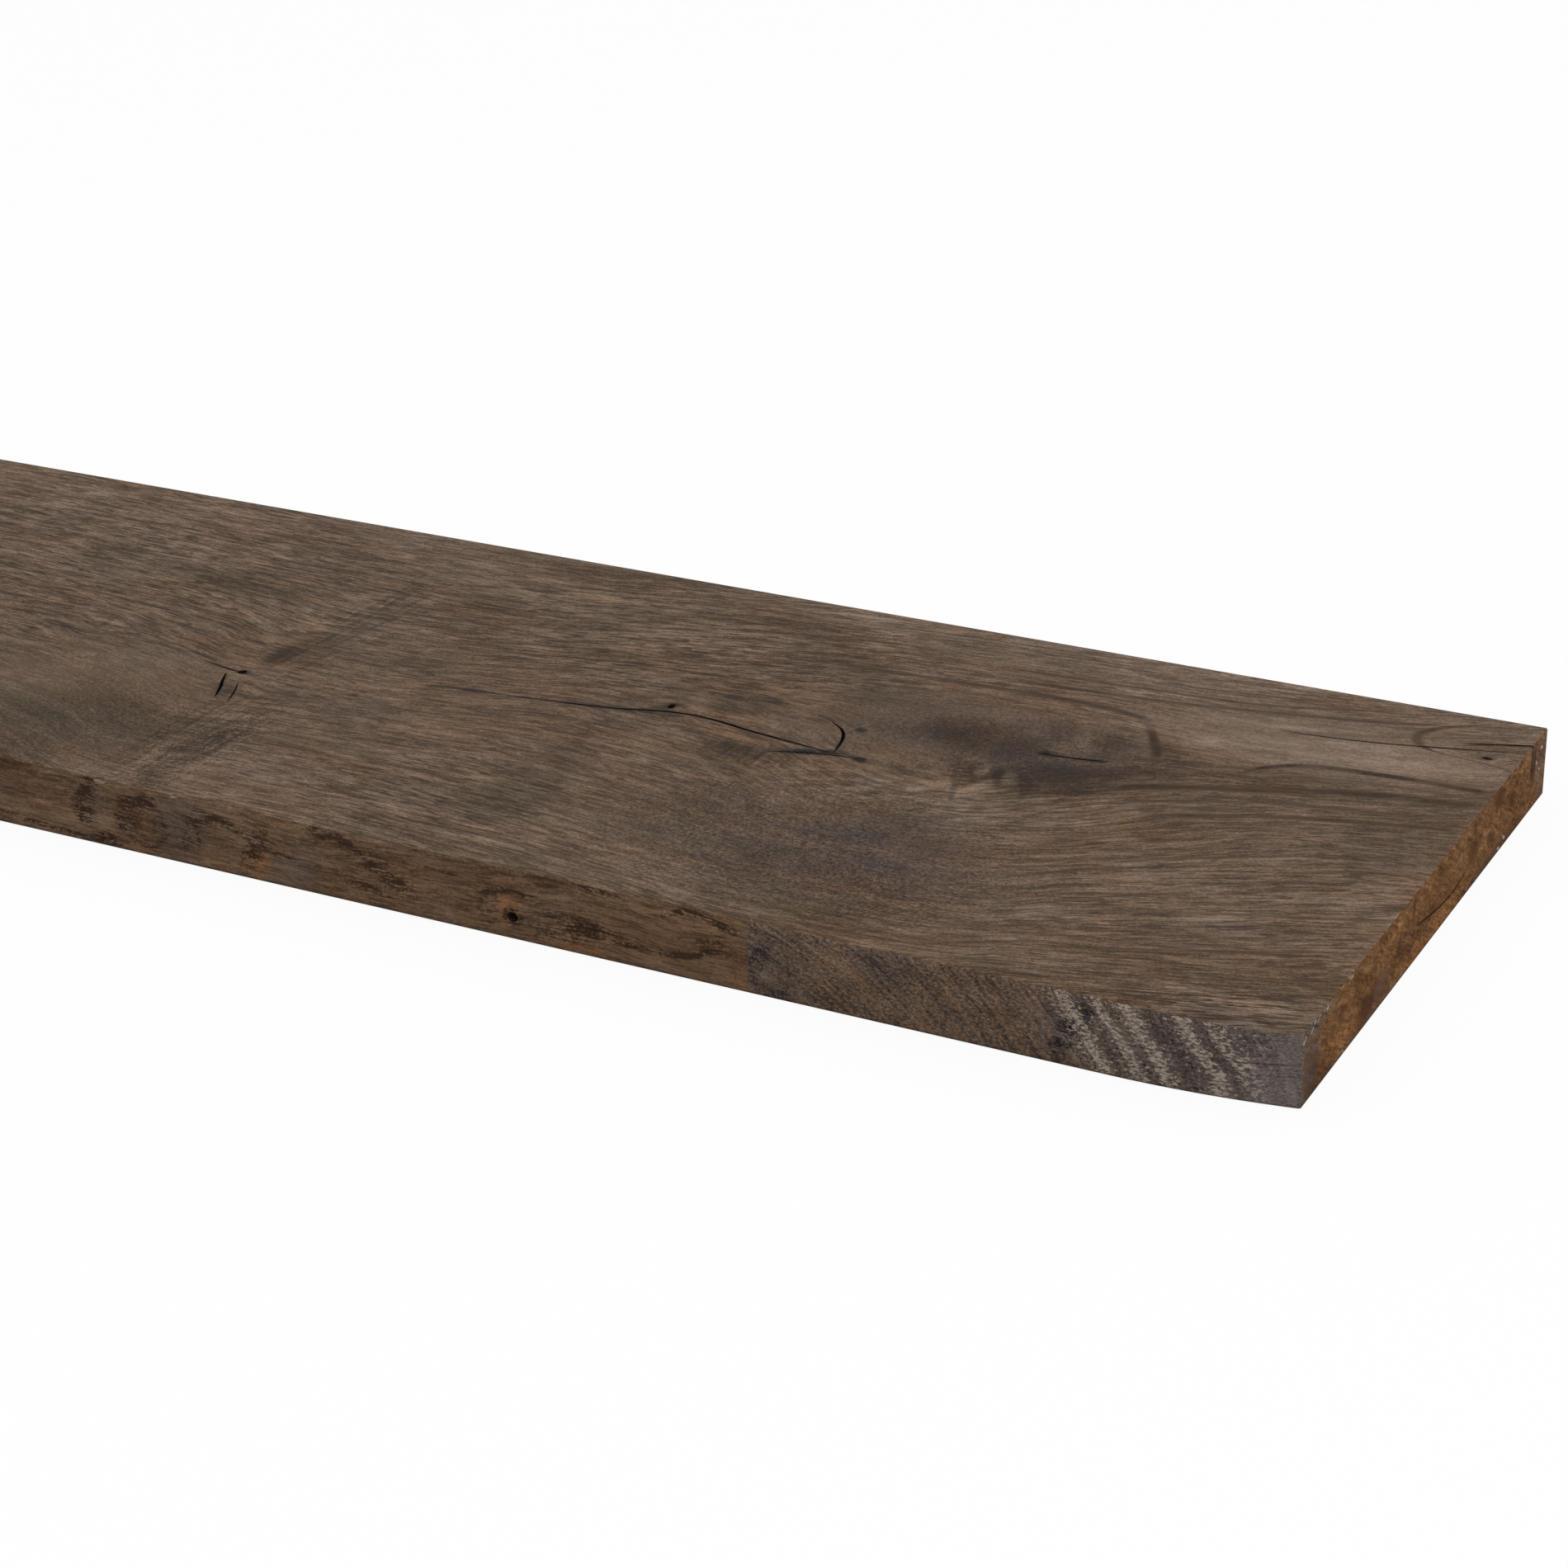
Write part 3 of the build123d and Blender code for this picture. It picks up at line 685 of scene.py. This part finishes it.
# Millimetres from the sawn end and below the top.
edge = {
    "browns": [rgb(34, 20, 10), rgb(61, 43, 28), rgb(90, 70, 53), rgb(112, 90, 71), rgb(134, 112, 92)],
    "middle": 0.5, "rowShare": 0.75, "lineShare": 0.6, "toothShare": 0.9, "cloudShare": 0.55, "washShare": 0.6,
    "bend": 14, "ripple": 1.2,          # how far the grain strays up and down the edge
    "shade": rgb(34, 26, 20),
    "patches": [
        (-346, 4.5, 3.4, 5, -0.3), (-347.5, 11, 5, 4, -0.26, 20), (-341, 18, 9, 3, -0.3),
        (-355, 13, 8, 5, 0.06), (-333, 8, 4, 7, -0.2, -20), (-329, 4, 8, 2.6, -0.24, -8),
        (-312, 9, 3, 10, -0.2, 22), (-305, 5, 5, 3, -0.16), (-292, 11, 4, 11, -0.26, 30),
        (-268, 2.5, 10, 2, -0.16, 8), (-249, 10, 13, 5, -0.16, 24), (-256, 14.5, 9, 1.6, -0.18, 5),
        (-218, 11, 4, 8, -0.14), (-190, 11.5, 16, 3, -0.24, 6), (-197, 15.5, 9, 3, -0.26),
        (-153, 9, 6, 3, -0.18), (-172, 9, 22, 3, 0.09), (-165, 17, 24, 3.4, 0.05), (-230, 5, 14, 4, 0.06),
        (-380, 8, 18, 9, 0.05),
    ],
    "greys": [
        (-345, 6, 7, 9, 0.5), (-316, 9, 12, 14, 0.8), (-280, 15, 12, 6, 0.8), (-276, 8, 8, 5, 0.35),
        (-218, 12, 5, 9, 0.35), (-199, 11, 10, 4, 0.3),
    ],
    "grey": rgb(104, 94, 88),
    "rusts": [
        (-213.5, 12.5, 5, 5.5, 0.9), (-212, 9.5, 4, 3, 0.7), (-290, 15, 4, 7, 0.8, 25), (-329, 9, 7, 5, 0.5),
        (-328, 18, 6, 2, 0.7), (-192, 18.5, 12, 2.6, 0.8), (-146, 17, 5, 4, 0.5), (-346, 3, 4, 4, 0.4),
    ],
    "rust": rgb(150, 104, 66),
    "hoops": [
        (-328, 10.8, 7, 6.4, 1.8, 0.45), (-328, 11, 3.6, 3.4, 1, 0.3), (-212.5, 13.8, 9, 8, 1.6, 0.25),
        (-211.4, 13.6, 2.4, 2.2, 1.4, 0.7),
    ],
    "strokes": [
        (((-326, 3.8), (-334, 6), (-335.8, 11.4), (-331.4, 16.2)), 2.6, 0.85),
        (((-334, 5.6), (-327, 3.6), (-321.6, 6.8)), 1.4, 0.6),
        (((-343.4, 0.6), (-347.6, 4.6), (-350.3, 8), (-349.6, 12.4), (-346, 15.6)), 3.2, 0.85),
        (((-348, 0.6), (-342, 1.4)), 1.4, 0.6),
        (((-311, 4), (-298.7, 5.6), (-292, 9.8), (-288.8, 16)), 2, 0.75),
        (((-292, 9), (-284, 10.6), (-277, 11.4)), 1, 0.5), (((-314, 5), (-310, 9.4), (-310.6, 14)), 1.2, 0.5),
        (((-373, 17), (-360, 18), (-346.5, 18.6)), 1.2, 0.8), (((-390, 15.6), (-372, 16.6)), 0.6, 0.5),
        (((-275, 1.2), (-263, 2.2), (-257.6, 5.3), (-252.2, 9), (-246.8, 10), (-242.8, 13.6)), 1.6, 0.75),
        (((-252, 10), (-247, 12.6), (-243, 14.4)), 2, 0.5),
        (((-263, 13.8), (-254.5, 15.3), (-248, 15.8)), 1, 0.7),
        (((-240, 4.2), (-232, 5), (-226, 5.4)), 0.5, 0.45),
        (((-222, 12), (-220.6, 8.4), (-215.8, 6.9), (-209.6, 6.4), (-203, 7.6)), 1.2, 0.75),
        (((-221, 12), (-220.5, 14.8), (-216, 18)), 1.6, 0.35),
        (((-202, 10), (-192.6, 12.8), (-182.5, 14.4)), 2, 0.65),
        (((-197, 13), (-192, 14.6), (-188, 15.6)), 2.2, 0.5),
        (((-184, 13.9), (-172, 14.2), (-161.6, 13.7), (-152.4, 10), (-147.7, 8.4)), 1.3, 0.75),
        (((-166, 10), (-156, 8.6), (-149, 9.2)), 0.9, 0.5),
        (((-193, 0.5), (-186, 0.8), (-177.5, 1.9)), 1.1, 0.8),
        (((-170, 4), (-165, 2.6), (-160, 1.4), (-152, 2.8), (-143.5, 5.6)), 1.2, 0.8),
        (((-156, 0.8), (-150, 2.2), (-144.5, 4)), 0.8, 0.6), (((-154, 5), (-148, 7.4)), 0.7, 0.5),
    ],
    "ink": rgb(43, 29, 18),
    # the part that was never planed
    "weathered": [rgb(26, 21, 18), rgb(55, 44, 37), rgb(83, 69, 58), rgb(111, 95, 82), rgb(146, 130, 112)],
    "weatheredPatches": [
        (-140, 9, 3.5, 8, -0.2, 28), (-133, 18, 5, 5, -0.22), (-107, 3, 4, 4, -0.12),
        (-56, 10, 5, 13, -0.26, 30), (-120, 8, 14, 9, 0.03),
    ],
    "weatheredSlates": [
        (-139, 10, 7, 10, 0.5, 25), (-132, 18, 7, 6, 0.5), (-106, 3, 12, 7, 0.4), (-58, 8, 9, 14, 0.6, 30),
        (-25, 10, 40, 16, 0.75), (0, 10, 22, 20, 0.8),
    ],
    "speckleShare": 1.8, "arcShare": 0.95,
    "rustyArcs": [(-98, 11, 52, 20, 1)],
    # the growth rings come out as arcs about this place, and as pale and dark bands near the sawn end
    "ringCentre": (-170, 90),
    "bands": [
        (-46, 0.4), (-42.5, 0.55), (-39.8, 0.95), (-36.5, 0.2), (-34.5, 0.25), (-32.3, 0.95), (-29.3, 0.25),
        (-26, 0.92), (-22, 0.08), (-18, 0.1), (-14.6, 0.98), (-10.8, 0.12), (-7.2, 0.75), (-3.5, 0.3),
        (2, 0.25),
    ],
    "pale": rgb(151, 140, 126),
    # dark and light of each wash
    "slates": (rgb(28, 24, 24), rgb(106, 95, 90)),
    "arcRusts": (rgb(34, 23, 13), rgb(120, 90, 64)),
    "endGreys": (rgb(52, 45, 42), rgb(128, 118, 112)),
    "scratch": rgb(34, 28, 27),
    "scratches": [
        (((-47, 10.8), (-22, 9.8), (0, 8.4)), 0.35, 0.55), (((-36, 7.7), (-20, 7.4)), 0.3, 0.5),
        (((-19, 3.3), (0, 2)), 0.3, 0.45), (((-40, 15), (-18, 14.2)), 0.3, 0.4),
        (((-14, 12.5), (0, 11.6)), 0.3, 0.4), (((-60, 3.4), (-44, 3)), 0.3, 0.4),
    ],
}


def edgeFace():
    finish = newMaterial("oakEdge", roughness=0.7, specular=0.07)
    place = boardPlace()
    x, y, z = apart(place)
    nearSide = fit(y, 120, 80)                # 1 on the near edge and 0 on the far one
    below = calc('SUBTRACT', topZ, z)
    side = joined(x, below, times(y, 0.2))
    flat = joined(x, below)
    bent = swing(below, [(cloud(side, (0.014, 0.04, 0.1), seed=30), edge["bend"]),
                         (cloud(side, (0.07, 0.2, 0.1), seed=31), edge["ripple"])])
    run = joined(x, bent, times(y, 0.2))

    # the planed part
    rows = cloud(run, (0.05, 0.38, 0.2), detail=4, rough=0.75, seed=32)
    lines = cloud(run, (0.12, 1.6, 0.8), detail=2, rough=0.7, seed=33)
    tooth = cloud(side, (1.1, 1.6, 1), detail=3, rough=0.75, seed=35)
    fine = swing(0.0, [(rows, edge["rowShare"]), (lines, edge["lineShare"]), (tooth, edge["toothShare"])])
    clouding = cloud(side, (0.03, 0.09, 0.1), detail=2, seed=34)
    level = swing(calc('ADD', fine, edge["middle"]), [(clouding, edge["cloudShare"])])
    # crumbled breaks the marks up into short dashes
    crumbs = swing(0.5, [(tooth, 1.0), (lines, 0.9)])
    lumps = cloud(side, (0.16, 0.35, 0.3), detail=3, rough=0.7, seed=36)
    crumbled = times(fit(crumbs, 0.60, 0.42, 0.05, 1.5), fit(lumps, 0.35, 0.65, 0.7, 1.3))
    onNear = times(crumbled, nearSide)
    level = calc('MULTIPLY_ADD', patches(flat, edge["patches"]), onNear, level)
    base = stops(level, edge["browns"])
    dimmed = fit(level, 0.0, 1.0)
    washes = [(times(patches(flat, edge[name]), nearSide), colour)
              for name, colour in (("greys", "grey"), ("rusts", "rust"))]
    rust = cloud(side, (0.05, 0.12, 0.1), detail=2, seed=38)
    washes.append((fit(rust, 0.45, 0.65, 0, 0.3), "rust"))
    for amount, colour in washes:
        amount = times(amount, edge["washShare"], clamp=True)
        base = washed(base, amount, dimmed, edge["shade"], edge[colour])
    pores = swing(cloud(run, (0.2, 2.0, 1.2), detail=1, seed=37), [(rows, -0.35)])
    pores = fit(pores, 0.56, 0.64, 0.0, 0.45, smooth=True)
    hair = hairlines(cloud(run, (0.025, 0.5, 0.2), detail=2, seed=39), 0.6)
    pores = calc('MAXIMUM', pores, times(hair, fit(lines, 0.54, 0.44)))
    drawn = strokes(x, below, edge["strokes"], hoops(flat, edge["hoops"]))
    drawn = calc('MULTIPLY_ADD', drawn, times(onNear, 1.2), pores, clamp=True)
    base = tint(drawn, base, edge["ink"])

    # the weathered part
    centreX, centreBelow = edge["ringCentre"]
    radius = put("VectorMath", {0: vec('SUBTRACT', flat, (centreX, centreBelow, 0))}, operation='LENGTH')
    arcs = joined(radius.outputs["Value"], below)
    arcs = cloud(arcs, (0.75, 0.08, 1), detail=3, rough=0.75, seed=41)
    speckle = cloud(side, (1.1, 1.7, 1.0), detail=3, rough=0.8, seed=40)
    clouding = cloud(side, (0.08, 0.16, 0.1), detail=2, seed=45)
    worn = swing(0.5, [(speckle, edge["speckleShare"]), (arcs, edge["arcShare"]), (clouding, 0.4)])
    worn = calc('MULTIPLY_ADD', patches(flat, edge["weatheredPatches"]), crumbled, worn)
    slant = calc('MULTIPLY_ADD', z, 0.52, times(x, 0.85))         # along the board, square to the bands
    slant = swing(slant, [(cloud(side, (0.06, 0.14, 0.1), seed=46), 5.0)])
    band = lineHeight(swing(slant, [(speckle, 3.5)]), edge["bands"])
    inBands = fit(slant, -48, -42)
    worn = swing(worn, [(band, times(inBands, 0.18))])
    rough = stops(worn, edge["weathered"])
    dimmed = fit(worn, 0.05, 0.95)
    slates = times(patches(flat, edge["weatheredSlates"]), 1.0, clamp=True)
    rough = washed(rough, slates, dimmed, *edge["slates"])
    rusty = fit(arcs, 0.47, 0.57, 0, 0.55)
    rusty = times(rusty, patches(flat, edge["rustyArcs"]), clamp=True)
    rough = washed(rough, rusty, dimmed, *edge["arcRusts"])
    atEnd = fit(swing(x, [(speckle, 6.0)]), -14, -6, 0, 0.8, smooth=True)
    rough = washed(rough, atEnd, dimmed, *edge["endGreys"])
    flecks = cloud(side, (0.7, 1.5, 1.0), detail=3, rough=0.75, seed=43)
    paleness = fit(calc('MULTIPLY_ADD', band, 0.16, flecks), 0.61, 0.68, 0, 0.85, smooth=True)
    paleness = times(paleness, inBands, fit(x, -5, -12, 0.1, 1.0))
    rough = tint(paleness, rough, edge["pale"])
    rough = tint(strokes(x, below, edge["scratches"]), rough, edge["scratch"])

    boundary = swing(x, [(cloud(side, (0.1, 0.8, 1), seed=44), 1.6)])
    unplaned = fit(boundary, board["roughFrom"] - 0.8, board["roughFrom"] + 0.3)
    unplaned = times(unplaned, nearSide)
    base = tint(unplaned, base, rough)
    # painted shade along the foot of both edges, darker towards the underside, in the ink colour
    foot = fit(swing(below, [(rows, 2.0)]), 19.0, 19.9, 0, 0.75)
    base = tint(foot, base, edge["ink"])

    height = calc('MULTIPLY_ADD', calc('ADD', speckle, flecks), unplaned, fine)
    dress(finish, base, height, strength=0.5, distance=0.3)
    tree.links.new(fit(unplaned, 0, 1, 0.62, 0.85), finish.inputs["Roughness"])


# Millimetres from the near edge and below the top.
sawn = {
    "browns": [rgb(36, 19, 6), rgb(75, 46, 20), rgb(104, 71, 41), rgb(131, 97, 63), rgb(158, 126, 92)],
    "middle": 0.47, "markShare": 1.5, "pitShare": 1.0, "cloudShare": 0.6, "washShare": 0.7,
    "markTurn": 30,
    # foot is the colour of the painted shade along the underside of the sawn end
    "shade": rgb(34, 24, 18), "ink": rgb(34, 22, 17), "foot": rgb(40, 31, 28),
    "patches": [
        (168.5, 8.5, 3.5, 3, -0.26, 20), (157, 3.5, 6, 4, -0.24, 25), (150, 12, 5, 2.4, -0.34, 20),
        (135.5, 9.5, 6, 4, -0.26), (188, 6, 3, 9, -0.26), (85, 4, 2, 6, -0.2), (74.5, 8, 2, 6, -0.14),
        (50, 15, 8, 5, -0.3), (60, 14, 9, 4, -0.14), (31, 8, 3, 3, -0.16), (160, 19, 26, 3, -0.22),
        (108, 6, 12, 6, -0.08), (10, 13, 8, 9, -0.22), (20, 17, 10, 5, -0.12), (3, 9, 2.6, 12, 0.14),
        (30, 15, 12, 4, 0.1), (110, 17, 20, 4, 0.08), (70, 4, 12, 4, 0.06), (176, 8, 8, 6, 0.04),
        (120, 4, 10, 4, 0.05),
    ],
    "greys": [
        (197, 9, 9, 14, 0.6), (188, 4, 5, 10, 0.4), (6, 10, 14, 16, 1), (61, 14, 9, 5, 0.5),
        (150, 19, 30, 4, 0.4), (16, 1.5, 14, 3, 0.8), (40, 19.5, 60, 2.5, 0.5),
    ],
    "grey": rgb(112, 100, 94),
    "oranges": [
        (110, 17, 30, 6, 0.8), (30, 15, 14, 5, 0.8), (85, 18, 12, 4, 0.7), (140, 6, 14, 5, 0.4),
        (75, 5, 20, 5, 0.4),
    ],
    "orange": rgb(156, 104, 56),
    "strokes": [
        (((130, 12.2), (119, 13.9), (104.5, 12.8), (87, 9.8)), 0.9, 0.45),
        (((190, 0), (188.5, 5), (187, 11)), 1.3, 0.6), (((85.5, 1), (85, 5)), 1, 0.5),
        (((75, 7), (74.5, 11)), 0.8, 0.4), (((15, 3), (10, 0.6)), 0.8, 0.7),
    ],
    "chips": [
        (163, 17.5, 1.5, 0.7, 0.8, 25), (158, 18.6, 1.2, 0.7, 0.7, 20), (37, 0.6, 1.8, 0.8, 0.8),
        (20.5, 1, 1.1, 1.1, 0.7, 30), (11, 1.4, 3.4, 0.5, 0.7, -40), (34, 19.2, 1.8, 0.6, 0.7, 30),
        (191, 7, 1.1, 0.8, 0.7, 20), (195, 4, 1.6, 0.9, 0.5, 20), (194, 10, 1.2, 0.7, 0.5, 30),
        (5, 2.4, 3, 0.5, 0.6, -40), (15, 0.8, 2, 0.6, 0.6, -30),
    ],
    "chip": rgb(186, 172, 160),
}


def endFace():
    finish = newMaterial("sawnEnd", roughness=0.8, specular=0.05)
    place = boardPlace()
    x, y, z = apart(place)
    sawnSide = fit(x, -900, -300)             # 1 on the sawn end and 0 on the plain one
    below = calc('SUBTRACT', topZ, z)
    side = joined(y, below, times(x, 0.1))
    flat = joined(y, below)
    marks = cloud(turned(side, sawn["markTurn"]), (0.16, 1.05, 0.1), detail=4, rough=0.85, seed=50)
    pits = cloud(side, (0.45, 0.55, 0.3), detail=4, rough=0.75, seed=51)
    clouding = cloud(side, (0.05, 0.12, 0.1), detail=3, seed=52)
    level = swing(sawn["middle"], [(marks, sawn["markShare"]), (pits, sawn["pitShare"]),
                                   (clouding, sawn["cloudShare"])])
    onSawn = times(fit(calc('ADD', pits, marks), 0.85, 1.15, 0.1, 1.5), sawnSide)
    level = calc('MULTIPLY_ADD', patches(flat, sawn["patches"]), onSawn, level)
    base = stops(level, sawn["browns"])
    dimmed = fit(level, 0.0, 1.0)
    for name, colour in (("greys", "grey"), ("oranges", "orange")):
        amount = times(patches(flat, sawn[name]), onSawn)
        amount = times(amount, sawn["washShare"], clamp=True)
        base = washed(base, amount, dimmed, sawn["shade"], sawn[colour])
    drawn = times(strokes(y, below, sawn["strokes"]), sawnSide)
    base = tint(drawn, base, sawn["ink"])
    white = times(patches(flat, sawn["chips"]), onSawn, clamp=True)
    base = tint(white, base, sawn["chip"])
    # painted shade along the foot of the sawn end, darker towards the underside
    foot = fit(swing(below, [(pits, 2.0)]), 18.8, 19.8, 0, 0.7)
    base = tint(foot, base, sawn["foot"])
    dress(finish, base, calc('ADD', marks, pits), strength=0.6, distance=0.3)


def crackWall():
    # the walls of the cracks and pits are near black: dirt and the dark of the knots, with painted shade deep in
    # the narrow cracks
    finish = newMaterial("crackWall", roughness=0.9, specular=0.1)
    grimeAndShade = cloud(boardPlace(), (0.4, 0.4, 0.4), detail=3)
    base = tint(fit(grimeAndShade, 0.4, 0.6), rgb(20, 15, 14), rgb(46, 34, 27))
    dress(finish, base, grimeAndShade, strength=0.4, distance=0.3)


def chipped():
    # bare wood where a splinter broke off
    finish = newMaterial("chipped", roughness=0.8, specular=0.12)
    fibre = cloud(boardPlace(), (0.3, 1.6, 1.6), detail=3, rough=0.7)
    base = tint(fit(fibre, 0.38, 0.62), rgb(62, 50, 41), rgb(128, 110, 93))
    dress(finish, base, fibre, strength=0.4, distance=0.3)


planedFace()
edgeFace()
endFace()
crackWall()
chipped()
print("materials")

oakBoard = buildBoard()
for name in ("planedOak", "oakEdge", "sawnEnd", "crackWall"):
    oakBoard.data.materials.append(bpy.data.materials[name])
for face in oakBoard.data.polygons:
    if abs(face.normal.x) > 0.7:
        face.material_index = 2
    elif abs(face.normal.y) > 0.7:
        face.material_index = 1
addRelief(oakBoard)
carveCracks(oakBoard)
makeActive(oakBoard)
bpy.ops.object.shade_smooth_by_angle(angle=math.radians(board["smoothAngle"]))
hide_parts("plank")
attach(oakBoard, "root")
print("board", len(oakBoard.data.polygons), "faces", [m.name for m in oakBoard.data.materials])

studio = {
    "worldLevel": 0.78, "keyPower": 12, "fillPower": 5, "floorWhite": 0.96, "floorGlow": 0.92,
    # metres from the middle of the board's underside, degrees and millimetres
    "cameraPlace": (0.8278, -0.7772, 0.4072), "yaw": -27.98, "pitch": 24.40, "roll": 1.08, "lens": 80.39,
}


def background():
    # 1 for the rays that see the white background, from the camera or in gloss or glass
    rays = put("LightPath").outputs
    seen = calc('MAXIMUM', rays["Is Camera Ray"], rays["Is Glossy Ray"])
    return calc('MAXIMUM', seen, rays["Is Transmission Ray"])


deselectAll()
bpy.ops.mesh.primitive_plane_add(size=14, location=(0, 0, -0.0002))
floor = bpy.context.active_object
floor.name = "floor"
finish = newMaterial("paleFloor", roughness=1.0, specular=0.0)
finish.inputs["Base Color"].default_value = (studio["floorWhite"],) * 3 + (1,)
glow = put("Emission", {"Color": (1, 1, 1, 1), "Strength": 1.0})
mixed = put("MixShader", {0: times(background(), studio["floorGlow"]), 1: finish.outputs[0], 2: glow.outputs[0]})
tree.links.new(mixed.outputs[0], tree.nodes["Material Output"].inputs["Surface"])
floor.data.materials.append(bpy.data.materials["paleFloor"])

world = bpy.data.worlds.new("studio")
bpy.context.scene.world = world
world.use_nodes = True
tree = world.node_tree
level = fit(background(), 0, 1, studio["worldLevel"], 1.0)
tree.links.new(level, tree.nodes["Background"].inputs["Strength"])
tree.nodes["Background"].inputs["Color"].default_value = (1, 1, 1, 1)


def softLamp(name, place, aim, size, power):
    deselectAll()
    bpy.ops.object.light_add(type='AREA', location=place)
    lamp = bpy.context.active_object
    lamp.name = name
    lamp.data.shape = 'SQUARE'
    lamp.data.size = size
    lamp.data.energy = power
    lamp.rotation_euler = (Vector(aim) - Vector(place)).to_track_quat('-Z', 'Y').to_euler()


softLamp("key", (1.2, -1.6, 1.8), (0.3, 0, 0), 1.6, studio["keyPower"])
softLamp("fill", (2.2, 0.6, 1.0), (0.4, 0, 0), 1.2, studio["fillPower"])

yaw, pitch, roll = (math.radians(studio[name]) for name in ("yaw", "pitch", "roll"))
ahead = Vector((math.sin(yaw) * math.cos(pitch), math.cos(yaw) * math.cos(pitch), -math.sin(pitch)))
right = Vector((math.cos(yaw), -math.sin(yaw), 0))
down = ahead.cross(right)
across = right * math.cos(roll) + down * math.sin(roll)
below = down * math.cos(roll) - right * math.sin(roll)
bpy.ops.object.camera_add()
camera = bpy.context.active_object
turn = Matrix((across, -below, -ahead)).transposed().to_4x4()
camera.matrix_world = Matrix.Translation(studio["cameraPlace"]) @ turn
camera.data.lens = studio["lens"]
camera.data.sensor_width = 36
camera.data.clip_end = 50
bpy.context.scene.camera = camera
bpy.context.scene.view_settings.view_transform = 'Standard'
print("studio")
